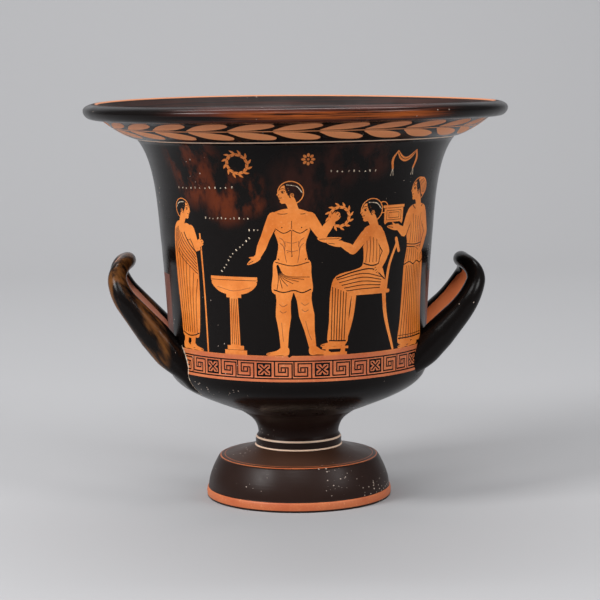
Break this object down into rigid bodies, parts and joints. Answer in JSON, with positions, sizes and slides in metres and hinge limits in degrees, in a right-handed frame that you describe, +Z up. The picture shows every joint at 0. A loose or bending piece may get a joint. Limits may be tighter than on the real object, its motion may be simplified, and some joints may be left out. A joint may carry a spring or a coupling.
{
  "type": "greek krater",
  "caption": "Two-handled calyx-shaped wine-mixing bowl in black-glossed terracotta, with a flaring mouth, upright horseshoe handles and a stemmed foot.",
  "frame": {"origin": "middle of the underside of the foot, on the surface it stands on", "axes": "+Z up along the vessel's axis, +X towards the right-hand handle, -Y towards the front picture"},
  "size_m": [0.3226, 0.3226, 0.3059],
  "materials": {
    "black_gloss_terracotta": "glossy black slip over orange terracotta, with the picture and ornament reserved in the clay colour"
  },
  "bodies": {
    "root": {"krater": "black_gloss_terracotta"}
  },
  "joints": []
}
